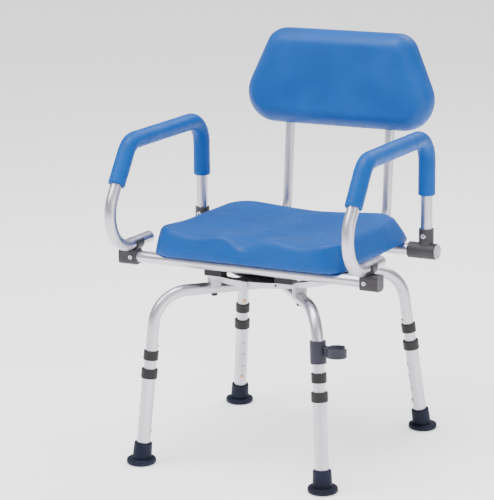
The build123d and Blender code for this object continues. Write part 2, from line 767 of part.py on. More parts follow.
def back_outline(inset):
    """A trapezoid, wide at the bottom, with large round corners, drawn smaller by the inset."""
    height = (PAD_TOP_Z - PAD_LOW_Z) / cos(radians(LEAN)) - 1.5
    lean_in = (PAD_LOW_HALF - PAD_TOP_HALF) / height
    side_inset = inset * sqrt(1 + lean_in ** 2)
    low_half = PAD_LOW_HALF - side_inset - inset * lean_in
    top_half = PAD_TOP_HALF - side_inset + inset * lean_in
    low_corner, top_corner = PAD_LOW_CORNER - inset, PAD_TOP_CORNER - inset
    with BuildLine() as outline:
        FilletPolyline(
            (-low_half, inset),
            (low_half, inset),
            (top_half, height - inset),
            (-top_half, height - inset),
            close=True,
            radius=[low_corner, low_corner, top_corner, top_corner],
        )
    make_face(outline.edges())


def make_back():
    """Cushion with a bevelled front, fixed on a thin stiff board."""
    with BuildPart() as back_pad:
        with BuildSketch(lean_plane(BACK_OFF)):
            back_outline(0)
        with BuildSketch(lean_plane(-PAD_FRONT + PAD_BEVEL + 6)):
            back_outline(0.5)
        with BuildSketch(lean_plane(-PAD_FRONT)):
            back_outline(PAD_BEVEL)
        loft(ruled=True)
        for x in (-POST_X, POST_X):
            low, high = post_point(x, PAD_LOW_Z - POST_R), post_point(x, POST_TOP_Z)
            with BuildSketch(Plane(low, z_dir=high - low)):
                Circle(POST_R + SNUG)
            extrude(amount=(high - low).length + 1, mode=Mode.SUBTRACT)
    save(back_pad.part, "back_pad")
    heads = []
    for x in (-POST_X, POST_X):
        for z in BACK_SCREW_Z:
            at = post_point(x, z, BACK_OFF + BACK_BOARD_T)
            heads.append(Plane(at, z_dir=(0, cos(radians(LEAN)), -sin(radians(LEAN)))))
    back_screws = make_screws("back_screws", heads, 5.0, 2.6, BACK_BOARD_T)
    with BuildPart() as back_board:
        with BuildSketch(lean_plane(BACK_OFF + BACK_BOARD_T)):
            back_outline(7)
        extrude(amount=BACK_BOARD_T)
        add(back_screws, mode=Mode.SUBTRACT)
    save(back_board.part, "back_board")


# ---- arms ---------------------------------------------------------------------------

# centre line of an arm in its own plane, as (y, z) from the swivel axis
ARM_ROUTE = [
    (ARM_REAR_Y, 408.0),
    (ARM_REAR_Y, 602.0),
    (-144.5, 602.0),
    (-278.0, CRADLE_Z),
    (-80.0, CRADLE_Z),
]
ARM_RADII = [48.0, 40.0, 66.0]
SLEEVE_SHARE = 0.38  # how far down the sloping run the sleeve reaches
SLEEVE_LOW_Z = 489.0
TIP_ROUND = 2.5


def arm_point(side, y, z):
    return axis_point(side * ARM_X, y, z)


def make_arm(name, side):
    """Bent tube with a soft sleeve, a tee that turns on the rear rail, and a tip plug."""
    points = [arm_point(side, y, z) for y, z in ARM_ROUTE]
    arm = swept_tube(points, ARM_RADII, TUBE_R, TUBE_R - WALL)
    save(arm, f"arm_tube_{name}")

    slope_end = points[2] + (points[3] - points[2]) * SLEEVE_SHARE
    sleeve_points = [arm_point(side, ARM_ROUTE[0][0], SLEEVE_LOW_Z), points[1], points[2], slope_end]
    sleeve = swept_tube(sleeve_points, ARM_RADII[:2], SLEEVE_R, TUBE_R + SNUG)
    save(sleeve, f"arm_sleeve_{name}")

    seat_of_head = arm_point(side, ARM_REAR_Y - SOCKET_R, TEE_SCREW_Z)
    tee_screw = make_screws(f"tee_screw_{name}", [Plane(seat_of_head, z_dir=(0, -1, 0))], 5.0, 2.4, 2.9)
    with BuildPart() as arm_tee:
        with BuildSketch(Plane(axis_point(side * BARREL_X, RAIL_Y, RAIL_Z), z_dir=(side, 0, 0))):
            Circle(BARREL_R)
        extrude(amount=BARREL_LENGTH)
        with BuildSketch(Plane(arm_point(side, ARM_REAR_Y, RAIL_Z), z_dir=(0, 0, 1))):
            Circle(SOCKET_R)
        extrude(amount=SOCKET_TOP_Z - RAIL_Z)
        with BuildSketch(Plane(arm_point(side, *ARM_ROUTE[0]), z_dir=(0, 0, 1))):
            Circle(TUBE_R)
        extrude(amount=CUT, mode=Mode.SUBTRACT)
        with BuildSketch(Plane(axis_point(side * (BARREL_X - 1), RAIL_Y, RAIL_Z), z_dir=(side, 0, 0))):
            Circle(TUBE_R + RUN_FIT)
        extrude(amount=CUT, mode=Mode.SUBTRACT)
        add(tee_screw, mode=Mode.SUBTRACT)
    save(arm_tee.part, f"arm_tee_{name}")

    with BuildPart() as arm_tip_cap:
        tip = arm_point(side, *ARM_ROUTE[-1])
        with BuildSketch(Plane(tip, z_dir=(0, 1, 0))):
            Circle(TUBE_R)
        extrude(amount=END_CAP_T)
        fillet(arm_tip_cap.edges().group_by(Axis.Y)[-1], radius=TIP_ROUND)
        with BuildSketch(Plane(tip, z_dir=(0, -1, 0))):
            Circle(TUBE_R - WALL - SNUG)
        extrude(amount=PLUG_LENGTH)
    save(arm_tip_cap.part, f"arm_tip_cap_{name}")


# ---- everything -----------------------------------------------------------------------

make_base_tubes()
make_frame_collars()
for leg in CORNERS:
    make_inner_leg_tube(leg)
    make_button(leg, TOP_BUTTON_Z, TUBE_R, f"frame_button_{leg}")
    make_button(leg, FIRST_HOLE_Z, OUTER_TUBE_R, f"height_button_{leg}")
    make_lower_leg(leg)
    make_leg_collar(leg)
    make_foot(leg)
make_shower_holder()
make_swivel_hoop()
make_glide_ring()
make_ring_saddles()
make_saddle_bolts()
make_swivel_plate()
make_rails()
make_rail_end_caps()
make_front_clips()
make_seat()
make_back_posts()
make_back()
for arm_name, arm_side in SIDES.items():
    make_arm(arm_name, arm_side)
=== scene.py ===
import json
import math

import bmesh
import bpy
from mathutils import Matrix, Vector


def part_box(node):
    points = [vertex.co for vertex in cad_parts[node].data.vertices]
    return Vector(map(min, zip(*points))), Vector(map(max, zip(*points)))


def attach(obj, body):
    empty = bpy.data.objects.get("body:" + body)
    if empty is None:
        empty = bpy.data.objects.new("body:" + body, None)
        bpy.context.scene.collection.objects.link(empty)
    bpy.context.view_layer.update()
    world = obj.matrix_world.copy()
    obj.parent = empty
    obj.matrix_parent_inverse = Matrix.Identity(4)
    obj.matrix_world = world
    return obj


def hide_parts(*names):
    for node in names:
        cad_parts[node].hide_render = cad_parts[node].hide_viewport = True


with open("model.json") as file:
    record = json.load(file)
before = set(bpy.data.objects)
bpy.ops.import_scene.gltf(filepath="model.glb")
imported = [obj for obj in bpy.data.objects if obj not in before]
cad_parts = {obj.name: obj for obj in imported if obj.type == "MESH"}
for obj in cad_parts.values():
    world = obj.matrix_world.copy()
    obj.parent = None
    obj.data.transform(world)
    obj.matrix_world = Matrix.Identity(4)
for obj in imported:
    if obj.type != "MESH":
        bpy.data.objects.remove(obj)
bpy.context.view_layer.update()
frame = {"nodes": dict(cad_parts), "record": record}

# Shapes below are in millimetres, and MM brings them to metres.
MM = 0.001
# Places from the frame, in metres: the turning axis, the seat pad's underside and the rails.
AXIS_Y = (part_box("swivel_hoop")[0][1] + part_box("swivel_hoop")[1][1]) / 2
SEAT_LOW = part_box("seat_pad")[0][2]
RAIL_Z = (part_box("front_rail")[0][2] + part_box("front_rail")[1][2]) / 2
# The front rail's distance from the turning axis, and the arms' from the middle.
RAIL_Y = 135 * MM
ARM_X = 241.5 * MM
SIDES = {"left": -1, "right": 1}
UP = Vector((0, 0, 1))


# ---- camera and lights -----------------------------------------------------------

CAMERA_AT = Vector((1.8226, AXIS_Y - 3.6378, 1.3407))
CAMERA_TURN = math.radians(27.5)
CAMERA_DOWN = math.radians(13.18)
CAMERA_ROLL = math.radians(-0.57)
CAMERA_LENS = 158.7
SENSOR_HEIGHT = 36

SKY_COLOR = (0.95, 0.96, 1.0, 1)
SKY_STRENGTH = 0.62


def make_camera():
    """Stands where the photograph was taken from, looking down a little."""
    turn, down = CAMERA_TURN, CAMERA_DOWN
    back = Vector((math.sin(turn) * math.cos(down), -math.cos(turn) * math.cos(down), math.sin(down)))
    right = Vector((math.cos(turn), math.sin(turn), 0))
    up = back.cross(right)
    across = right * math.cos(CAMERA_ROLL) + up * math.sin(CAMERA_ROLL)
    above = up * math.cos(CAMERA_ROLL) - right * math.sin(CAMERA_ROLL)
    data = bpy.data.cameras.new("camera")
    data.sensor_fit = "VERTICAL"
    data.sensor_height = SENSOR_HEIGHT
    data.lens = CAMERA_LENS
    camera = bpy.data.objects.new("camera", data)
    turned = Matrix((across, above, back)).transposed().to_4x4()
    camera.matrix_world = Matrix.Translation(CAMERA_AT) @ turned
    bpy.context.collection.objects.link(camera)
    bpy.context.scene.camera = camera


def make_light(name, at, aim, size, power):
    """A rectangular lamp; places and sizes in metres, power in watts."""
    data = bpy.data.lights.new(name, "AREA")
    data.shape = "RECTANGLE"
    data.size, data.size_y = size
    data.energy = power
    light = bpy.data.objects.new(name, data)
    light.location = at
    direction = Vector(aim) - Vector(at)
    light.rotation_euler = direction.to_track_quat("-Z", "Y").to_euler()
    bpy.context.collection.objects.link(light)


def make_studio():
    """Soft light from a pale sky and five broad lamps."""
    world = bpy.data.worlds.new("studio")
    world.use_nodes = True
    background = world.node_tree.nodes["Background"]
    background.inputs["Color"].default_value = SKY_COLOR
    background.inputs["Strength"].default_value = SKY_STRENGTH
    bpy.context.scene.world = world
    make_light("key", at=(-1.6, -1.9, 2.9), aim=(0, 0, 0.45), size=(1.5, 1.5), power=62)
    make_light("fill", at=(3.0, -0.9, 1.3), aim=(0, 0, 0.45), size=(1.4, 1.8), power=30)
    make_light("rear", at=(0.6, 2.4, 2.8), aim=(0, 0, 0.5), size=(2.2, 1.2), power=55)
    make_light("top", at=(-0.2, -0.3, 3.3), aim=(0, 0, 0.4), size=(1.8, 1.8), power=120)
    make_light("front", at=(2.6, -3.4, 2.3), aim=(0, 0, 0.4), size=(2.4, 1.6), power=20)


# ---- mesh helpers ----------------------------------------------------------------

ARC_STEPS = 12
BEND_STEPS = 16


def new_piece(name, vertices, faces, material, body, smooth=True):
    mesh = bpy.data.meshes.new(name)
    mesh.from_pydata([tuple(v) for v in vertices], [], faces)
    mesh.validate()
    bm = bmesh.new()
    bm.from_mesh(mesh)
    bmesh.ops.recalc_face_normals(bm, faces=bm.faces)
    bm.to_mesh(mesh)
    bm.free()
    if smooth:
        mesh.shade_smooth()
    piece = bpy.data.objects.new(name, mesh)
    bpy.context.collection.objects.link(piece)
    mesh.materials.append(material)
    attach(piece, body)
    return piece


def rings_to_faces(ring_count, ring_size, closed=False):
    """Quads between rings of points, each ring closed on itself."""
    faces = []
    for r in range(ring_count if closed else ring_count - 1):
        low, high = r * ring_size, (r + 1) % ring_count * ring_size
        for k in range(ring_size):
            n = (k + 1) % ring_size
            faces.append((low + k, low + n, high + n, high + k))
    return faces


def closed_skin(rings, first_point, last_point):
    """Vertices and faces of a skin through rings that ends in a point beyond each end ring."""
    size = len(rings[0])
    vertices = [v for ring in rings for v in ring] + [last_point, first_point]
    faces = rings_to_faces(len(rings), size)
    top, bottom = len(vertices) - 2, len(vertices) - 1
    last = (len(rings) - 1) * size
    faces += [(last + k, last + (k + 1) % size, top) for k in range(size)]
    faces += [((k + 1) % size, k, bottom) for k in range(size)]
    return vertices, faces


def circle_points(centre, one, two, radius, count):
    """Points round a circle that two unit vectors span."""
    angles = [2 * math.pi * k / count for k in range(count)]
    return [centre + (one * math.cos(angle) + two * math.sin(angle)) * radius for angle in angles]


def smoothstep(low, high, value):
    t = min(1.0, max(0.0, (value - low) / (high - low)))
    return t * t * (3 - 2 * t)


def bell(value, middle, width):
    return math.exp(-((value - middle) / width) ** 2)


def corner_arc(before, at, after, radius, steps):
    """Points of the arc that rounds a corner, from its first side to its second."""
    one, two = (before - at).normalized(), (after - at).normalized()
    half = one.angle(two) / 2
    reach = radius / math.tan(half)
    centre = at + (one + two).normalized() * (radius / math.sin(half))
    start, end = at + one * reach - centre, at + two * reach - centre
    sweep = math.pi - 2 * half
    arc = []
    for k in range(steps + 1):
        left, done = math.sin(sweep * (1 - k / steps)), math.sin(sweep * k / steps)
        arc.append(centre + (start * left + end * done) / math.sin(sweep))
    return arc


def rounded_outline(corners, radii, step):
    """Points along a polygon whose corners are arcs, evenly spaced."""
    points = []
    count = len(corners)
    for i in range(count):
        before, at, after = (Vector(corners[(i + d) % count]) for d in (-1, 0, 1))
        points += corner_arc(before, at, after, radii[i], ARC_STEPS)
    return resample(points + [points[0]], step)[:-1]


def bent_line(points, radii, step):
    """A line in space whose corners are arcs, as points at an even spacing."""
    line = [points[0]]
    for before, at, after, radius in zip(points, points[1:], points[2:], radii):
        line += corner_arc(before, at, after, radius, BEND_STEPS)
    return resample(line + [points[-1]], step)


def resample(line, step):
    """The same line with points at an even spacing."""
    lengths = [(b - a).length for a, b in zip(line, line[1:])]
    total = sum(lengths)
    count = max(3, round(total / step))
    spacing = total / count
    out, done, i = [], 0.0, 0
    for k in range(count + 1):
        want = k * spacing
        while i < len(lengths) - 1 and done + lengths[i] < want:
            done += lengths[i]
            i += 1
        t = (want - done) / lengths[i] if lengths[i] else 0
        out.append(line[i].lerp(line[i + 1], min(1.0, t)))
    return out


# ---- materials -------------------------------------------------------------------

# A noise texture's values lie mostly between these.
NOISE_LOW = 0.3
NOISE_HIGH = 0.7
# Noise values at which a color is darkest and lightest.
SHADE_LOW = 0.35
SHADE_HIGH = 0.65


class Paint:
    """A principled material with a few helpers for procedural detail."""

    def __init__(self, name, color, roughness, metallic=0.0):
        self.material = bpy.data.materials.new(name)
        self.material.use_nodes = True
        self.tree = self.material.node_tree
        self.nodes = self.tree.nodes
        self.shader = self.nodes["Principled BSDF"]
        self.color = color
        self.set("Base Color", (*color, 1))
        self.set("Roughness", roughness)
        self.set("Metallic", metallic)
        self.coordinates = self.nodes.new("ShaderNodeTexCoord")
        self.last_normal = None

    def set(self, socket, value):
        self.shader.inputs[socket].default_value = value

    def link(self, a, b):
        self.tree.links.new(a, b)

    def noise(self, scale, detail, stretch=(1, 1, 1)):
        mapping = self.nodes.new("ShaderNodeMapping")
        mapping.inputs["Scale"].default_value = stretch
        texture = self.nodes.new("ShaderNodeTexNoise")
        texture.inputs["Scale"].default_value = scale
        texture.inputs["Detail"].default_value = detail
        self.link(self.coordinates.outputs["Object"], mapping.inputs["Vector"])
        self.link(mapping.outputs["Vector"], texture.inputs["Vector"])
        return texture.outputs["Fac"]

    def cells(self, scale, smooth):
        texture = self.nodes.new("ShaderNodeTexVoronoi")
        texture.feature = "SMOOTH_F1"
        texture.inputs["Scale"].default_value = scale
        texture.inputs["Smoothness"].default_value = smooth
        self.link(self.coordinates.outputs["Object"], texture.inputs["Vector"])
        return texture.outputs["Distance"]

    def vary_color(self, value, dark, light):
        """Runs from a darker to a lighter shade of the base color."""
        ramp = self.nodes.new("ShaderNodeValToRGB")
        stops = ((SHADE_LOW, dark), (SHADE_HIGH, light))
        for element, (place, factor) in zip(ramp.color_ramp.elements, stops):
            element.position = place
            element.color = (*(min(1, c * factor) for c in self.color), 1)
        self.link(value, ramp.inputs["Fac"])
        self.link(ramp.outputs["Color"], self.shader.inputs["Base Color"])

    def vary_roughness(self, value, low, high):
        spread = self.nodes.new("ShaderNodeMapRange")
        spread.inputs["From Min"].default_value = NOISE_LOW
        spread.inputs["From Max"].default_value = NOISE_HIGH
        spread.inputs["To Min"].default_value = low
        spread.inputs["To Max"].default_value = high
        self.link(value, spread.inputs["Value"])
        self.link(spread.outputs["Result"], self.shader.inputs["Roughness"])

    def bump(self, value, strength, distance):
        """Adds a bump on top of the ones before it; distance in metres."""
        bump = self.nodes.new("ShaderNodeBump")
        bump.inputs["Strength"].default_value = strength
        bump.inputs["Distance"].default_value = distance
        self.link(value, bump.inputs["Height"])
        if self.last_normal:
            self.link(self.last_normal, bump.inputs["Normal"])
        self.last_normal = bump.outputs["Normal"]
        self.link(self.last_normal, self.shader.inputs["Normal"])


def make_aluminium():
    """Satin anodised tube: fine drawn grain, slight blotches in the sheen."""
    paint = Paint("satin_aluminium", (0.60, 0.575, 0.63), roughness=0.34, metallic=1.0)
    paint.vary_color(paint.noise(scale=9, detail=4), dark=0.93, light=1.06)
    paint.vary_roughness(paint.noise(scale=60, detail=5, stretch=(1, 1, 0.15)), low=0.27, high=0.42)
    grain = paint.noise(scale=900, detail=2, stretch=(1, 1, 0.08))
    paint.bump(grain, strength=0.06, distance=0.0004)
    return paint.material


def make_foam(name, color, roughness, gloss):
    """Moulded foam with a tight pebbled skin."""
    paint = Paint(name, color, roughness)
    paint.set("Specular IOR Level", gloss)
    paint.vary_color(paint.noise(scale=14, detail=4), dark=0.92, light=1.08)
    paint.vary_roughness(paint.noise(scale=45, detail=4), low=roughness - 0.05, high=roughness + 0.08)
    paint.bump(paint.cells(scale=620, smooth=0.4), strength=0.25, distance=0.0006)
    paint.bump(paint.noise(scale=1500, detail=3), strength=0.12, distance=0.0003)
    paint.bump(paint.noise(scale=22, detail=2), strength=0.06, distance=0.004)
    return paint.material


def make_plastic(name, color, roughness, grain=1400):
    """Moulded plastic with a fine spark-eroded grain."""
    paint = Paint(name, color, roughness)
    paint.set("Specular IOR Level", 0.3)
    paint.vary_color(paint.noise(scale=30, detail=4), dark=0.88, light=1.12)
    paint.vary_roughness(paint.noise(scale=70, detail=4), low=roughness - 0.06, high=roughness + 0.1)
    paint.bump(paint.noise(scale=grain, detail=3), strength=0.16, distance=0.0004)
    return paint.material


def make_rubber():
    """Dark blue-grey rubber with a dusty bloom and a soft sheen."""
    paint = Paint("foot_rubber", (0.004, 0.006, 0.018), roughness=0.6)
    paint.set("Specular IOR Level", 0.2)
    paint.vary_color(paint.noise(scale=26, detail=5), dark=0.75, light=1.5)
    paint.vary_roughness(paint.noise(scale=50, detail=4), low=0.46, high=0.66)
    paint.bump(paint.noise(scale=800, detail=3), strength=0.2, distance=0.0005)
    return paint.material


def make_metal(name, color, roughness, grain=1500):
    """Brushed or turned metal of the small hardware."""
    paint = Paint(name, color, roughness, metallic=1.0)
    paint.vary_color(paint.noise(scale=40, detail=3), dark=0.85, light=1.12)
    paint.vary_roughness(paint.noise(scale=120, detail=4), low=roughness - 0.07, high=roughness + 0.1)
    paint.bump(paint.noise(scale=grain, detail=2), strength=0.1, distance=0.0003)
    return paint.material


MATERIALS = {
    "aluminium": make_aluminium(),
    "blue_foam": make_foam("blue_foam", (0.0, 0.068, 0.30), roughness=0.46, gloss=0.22),
    "blue_sleeve": make_foam("blue_sleeve", (0.0, 0.076, 0.33), roughness=0.44, gloss=0.16),
    "joint_plastic": make_plastic("joint_plastic", (0.040, 0.036, 0.041), roughness=0.42),
    "collar_plastic": make_plastic("collar_plastic", (0.016, 0.014, 0.015), roughness=0.42),
    "foot_rubber": make_rubber(),
    "holder_plastic": make_plastic("holder_plastic", (0.030, 0.028, 0.046), roughness=0.42),
    "saddle_plastic": make_plastic("saddle_plastic", (0.55, 0.54, 0.58), roughness=0.4),
    "black_plate": make_plastic("black_plate", (0.012, 0.012, 0.014), roughness=0.36, grain=900),
    "glide_nylon": make_plastic("glide_nylon", (0.7, 0.7, 0.68), roughness=0.35),
    "board_plastic": make_plastic("board_plastic", (0.03, 0.03, 0.035), roughness=0.5),
    "end_cap": make_plastic("end_cap", (0.36, 0.35, 0.38), roughness=0.4),
    "steel": make_metal("steel", (0.62, 0.62, 0.64), roughness=0.28),
    # Near-black metal; on the screw recess floors it is painted shade, standing in for the dark deep inside
    # the hex holes.
    "dark_steel": make_metal("dark_steel", (0.045, 0.045, 0.05), roughness=0.38),
    "brass": make_metal("brass", (0.72, 0.40, 0.16), roughness=0.3),
}
NODE_SLOT = {s["node"]: s["material_slot"] for s in frame["record"]["subparts"]}


def paint_nodes():
    """Every CAD node gets the material of its own slot."""
    for name, node in frame["nodes"].items():
        material = MATERIALS[NODE_SLOT[name]]
        if not node.material_slots:
            node.data.materials.append(material)
        for place in node.material_slots:
            place.material = material


# ---- seat pad --------------------------------------------------------------------

# The pad's outline, y from the turning axis.
SEAT_HALF = 199.0
SEAT_FRONT = -160.0
SEAT_REAR = 186.0
SEAT_CORNERS = [44, 44, 52, 52]
SEAT_STEP = 4.5
# The edge's top lies inside its foot by this much at the front, and by these more further back.
FRONT_FACE_LEAN = 9
SIDE_LEAN_MORE = 10
REAR_LEAN_MORE = 5
# Underside from the board's recess out to the edge: inset and height.
SEAT_RECESS_Z = 3.0
SEAT_SIDE_Z = 3.4
SEAT_UNDERSIDE = (
    (14, SEAT_RECESS_Z),
    (11.5, 0.6),
    (8, 0.0),
    (3.2, 0.0),
    (0.9, 1.0),
    (0.0, SEAT_SIDE_Z),
)
# Side: shares of its height, with a curve that makes it lean in more toward the top.
SEAT_SIDE = (0.25, 0.5, 0.72, 0.86)
SEAT_SIDE_CURVE = 1.2
# Rim: inset past the side's top and drop below the seat's top surface.
SEAT_RIM_END = 6.5
SEAT_RIM = ((0.4, 3.6), (1.6, 1.7), (3.6, 0.5), (SEAT_RIM_END, 0.0))
SEAT_TOP_RINGS = 40
# Heights of the top at the front edge, in the dish and at the rear edge.
FRONT_EDGE_Z = 46.5
DISH_Z = 34
REAR_EDGE_Z = 44
# Stretches of y in which one of these turns into the next, and in which the edge's lean changes.
FRONT_TO_DISH = (-150, -20)
DISH_TO_REAR = (60, 168)
FRONT_TO_SIDE = (-150, -60)
SIDE_TO_REAR = (60, 180)


def seat_height(x, y):
    """Top of the seat pad above its underside: a dish between a scalloped front and a raised rear."""
    side = abs(x)
    notch = 16.5 * bell(x, 0, 29)
    swells = 3.0 * bell(side, 52, 24)
    thigh_hollows = 3.5 * bell(side, 108, 30)
    front_ends = 5 * smoothstep(120, 178, side)
    front = FRONT_EDGE_Z - notch + swells - thigh_hollows + front_ends
    dish_sides = 13.5 * smoothstep(60, 176, side)
    ridge = 3.0 * bell(x, 0, 40)
    middle = DISH_Z + dish_sides + ridge
    rear_ends = 5.5 * smoothstep(40, 165, side)
    rear_hollow = 3.0 * bell(x, 0, 50)
    rear = REAR_EDGE_Z + rear_ends - rear_hollow
    to_front = 1 - smoothstep(*FRONT_TO_DISH, y)
    to_rear = smoothstep(*DISH_TO_REAR, y)
    return middle + (front - middle) * to_front + (rear - middle) * to_rear


def make_seat_pad():
    """Moulded seat: a rounded slab with leaning sides and a sculpted top."""
    corners = [
        (-SEAT_HALF, SEAT_FRONT),
        (SEAT_HALF, SEAT_FRONT),
        (SEAT_HALF, SEAT_REAR),
        (-SEAT_HALF, SEAT_REAR),
    ]
    outline = rounded_outline(corners, SEAT_CORNERS, SEAT_STEP)
    middle = Vector((0, (SEAT_FRONT + SEAT_REAR) / 2))
    reach = Vector((SEAT_HALF, (SEAT_REAR - SEAT_FRONT) / 2))

    def shrunk(point, inset):
        """Moves a point of the outline inward, about evenly on all four sides."""
        off = point - middle
        return middle + Vector((off.x * (1 - inset / reach.x), off.y * (1 - inset / reach.y)))

    def edge_inset(point):
        """The front face stands steeper than the sides and the back."""
        side_lean = SIDE_LEAN_MORE * smoothstep(*FRONT_TO_SIDE, point.y)
        rear_lean = REAR_LEAN_MORE * smoothstep(*SIDE_TO_REAR, point.y)
        return FRONT_FACE_LEAN + side_lean + rear_lean

    def on_top(point, drop=0.0):
        return (point.x, point.y, seat_height(point.x, point.y) - drop)

    def on_side(point, share):
        top = shrunk(point, edge_inset(point))
        rise = (seat_height(top.x, top.y) - SEAT_SIDE_Z) * share
        at = shrunk(point, edge_inset(point) * share ** SEAT_SIDE_CURVE)
        return (at.x, at.y, SEAT_SIDE_Z + rise)

    rings = [[(*shrunk(p, inset), z) for p in outline] for inset, z in SEAT_UNDERSIDE]
    rings += [[on_side(p, share) for p in outline] for share in SEAT_SIDE]
    for extra, drop in SEAT_RIM:
        rings.append([on_top(shrunk(p, edge_inset(p) + extra), drop) for p in outline])
    inner_rim = [shrunk(p, edge_inset(p) + SEAT_RIM_END) for p in outline]
    for k in range(1, SEAT_TOP_RINGS):
        share = 1 - k / SEAT_TOP_RINGS
        rings.append([on_top(middle + (p - middle) * share) for p in inner_rim])
    vertices, faces = closed_skin(rings, (middle.x, middle.y, SEAT_RECESS_Z), on_top(middle))
    placed = [Vector((x * MM, AXIS_Y + y * MM, SEAT_LOW + z * MM)) for x, y, z in vertices]
    pad = new_piece("seat_cushion", placed, faces, MATERIALS["blue_foam"], "seat")
    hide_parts("seat_pad")


# ---- back pad --------------------------------------------------------------------

# The posts lean from their bend upward; y from the turning axis.
LEAN = math.radians(5.4)
POST_Y = 251
POST_BEND_Z = 423
# The pad's outline, measured along the posts.
PAD_LOW = 583.0
PAD_TALL = 189.0
PAD_LOW_HALF = 231.0
PAD_TOP_HALF = 146.5
PAD_CORNERS = [61.0, 61.0, 42.0, 42.0]
PAD_STEP = 4.0
PAD_MIDDLE_SHARE = 0.46
# The board behind the pad starts this far behind the posts' axis, and the cushion ends just before it.
BACK_OFF = 12.5
PAD_REAR_OFF = BACK_OFF - 0.2
# From the rear face round the edge to the front: inset from the outline, place behind the posts' axis.
PAD_PROFILE = [
    (9.0, PAD_REAR_OFF),
    (4.0, BACK_OFF - 0.8),
    (1.2, BACK_OFF - 3.0),
    (0.0, BACK_OFF - 7.0),
    (0.0, -2.0),
    (0.4, -10.0),
    (2.0, -18.0),
    (6.0, -26.0),
    (11.5, -33.0),
    (17.0, -38.2),
    (20.5, -40.6),
    (24.5, -41.9),
    (30.0, -42.4),
]
PAD_FRONT_RINGS = 24
PAD_DISH = 3.5
NORMAL_PASSES = 6


def back_place(x, up, off):
    """x across, up along the lean from the pad's lower edge, off to the rear of the posts' axis."""
    y = POST_Y + (PAD_LOW - POST_BEND_Z) * math.tan(LEAN) + up * math.sin(LEAN) + off * math.cos(LEAN)
    z = PAD_LOW + up * math.cos(LEAN) - off * math.sin(LEAN)
    return Vector((x * MM, AXIS_Y + y * MM, z * MM))


def inward_normals(outline):
    """Directions into an anticlockwise outline, evened out so that insets of it stay smooth."""
    count = len(outline)
    normals = []
    for i in range(count):
        along = (outline[(i + 1) % count] - outline[i - 1]).normalized()
        normals.append(Vector((-along.y, along.x)))
    for _ in range(NORMAL_PASSES):
        normals = [(normals[i - 1] + normals[i] * 2 + normals[(i + 1) % count]).normalized()
                   for i in range(count)]
    return normals


def make_back_pad():
    """Back cushion: a rounded trapezoid with a broad soft bevel round its front face."""
    corners = [
        (-PAD_LOW_HALF, 0),
        (PAD_LOW_HALF, 0),
        (PAD_TOP_HALF, PAD_TALL),
        (-PAD_TOP_HALF, PAD_TALL),
    ]
    outline = rounded_outline(corners, PAD_CORNERS, PAD_STEP)
    normals = inward_normals(outline)
    middle = Vector((0, PAD_TALL * PAD_MIDDLE_SHARE))

    def inset_outline(inset):
        return [p + n * inset for p, n in zip(outline, normals)]

    rings = [[back_place(*p, off) for p in inset_outline(inset)] for inset, off in PAD_PROFILE]
    last_inset, last_off = PAD_PROFILE[-1]
    for k in range(1, PAD_FRONT_RINGS):
        share = 1 - k / PAD_FRONT_RINGS
        off = last_off + PAD_DISH * (1 - share ** 2)
        rings.append([back_place(*(middle + (p - middle) * share), off) for p in inset_outline(last_inset)])
    rear_middle = back_place(*middle, PAD_REAR_OFF)
    front_middle = back_place(*middle, last_off + PAD_DISH)
    vertices, faces = closed_skin(rings, rear_middle, front_middle)
    pad = new_piece("back_cushion", vertices, faces, MATERIALS["blue_foam"], "seat")
    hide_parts("back_pad")


# ---- arm sleeves -----------------------------------------------------------------

# The tube's route under the sleeve, from the sleeve's lower rear end, over the top and down in front:
# y from the turning axis, and z.
TEE_Y = 137.0
ARM_TOP_Z = 602.0
ARM_ROUTE = [(TEE_Y, 489.0), (TEE_Y, ARM_TOP_Z), (-144.5, ARM_TOP_Z), (-278.0, 407.0)]
ARM_RADII = [48.0 * MM, 40.0 * MM]
TUBE_R = 11.1
# The sleeve stops at this share of the route's last straight.
SLEEVE_SHARE = 0.38
SLEEVE_R = 16.5
SLEEVE_STEP = 4 * MM
SLEEVE_AROUND = 48
# Rolled end from the tube's surface out: place along the tube and radius.
SLEEVE_END = (
    (-4.0, 11.15),
    (0.6, 11.3),
    (1.6, 12.6),
    (1.9, 14.2),
    (1.3, 15.6),
    (0.0, 16.3),
    (-2.2, SLEEVE_R),
)
SLEEVE_END_REACH = max(reach for reach, radius in SLEEVE_END)
# Between its ends the sleeve is a little thinner, by this and by two slow waves.
SLEEVE_THINNER = 0.15
SLEEVE_WAVES = (0.10, 0.08)


def make_sleeve(name, side):
    """Foam sleeve on an arm: one skin round the bends, with rolled ends on the tube."""
    points = [Vector((side * ARM_X, AXIS_Y + y * MM, z * MM)) for y, z in ARM_ROUTE]
    points[-1] = points[-2].lerp(points[-1], SLEEVE_SHARE)
    line = bent_line(points, ARM_RADII, SLEEVE_STEP)
    across = Vector((1, 0, 0))

    def ring_at(at, along, radius):
        return circle_points(at, across, along.cross(across).normalized(), radius * MM, SLEEVE_AROUND)

    def end_rings(at, along, outward):
        """From the tube's surface round the sleeve's rolled end."""
        return [ring_at(at + along * outward * (reach - SLEEVE_END_REACH) * MM, along, radius)
                for reach, radius in SLEEVE_END]

    rings = end_rings(line[0], (line[1] - line[0]).normalized(), -1)
    for i in range(2, len(line) - 2):
        along = (line[i + 1] - line[i - 1]).normalized()
        wave = SLEEVE_WAVES[0] * math.sin(i * 0.9 + side) + SLEEVE_WAVES[1] * math.sin(i * 0.37)
        rings.append(ring_at(line[i], along, SLEEVE_R - SLEEVE_THINNER + wave))
    rings += reversed(end_rings(line[-1], (line[-1] - line[-2]).normalized(), 1))
    vertices = [v for ring in rings for v in ring]
    faces = rings_to_faces(len(rings), SLEEVE_AROUND)
    sleeve = new_piece(f"arm_grip_{name}", vertices, faces, MATERIALS["blue_sleeve"], f"arm_{name}")
    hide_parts(f"arm_sleeve_{name}")


# ---- recesses in the screw heads ---------------------------------------------------

RECESS_SHARE = 0.38
RECESS_SIDES = 6
RECESS_DEPTH = 0.5
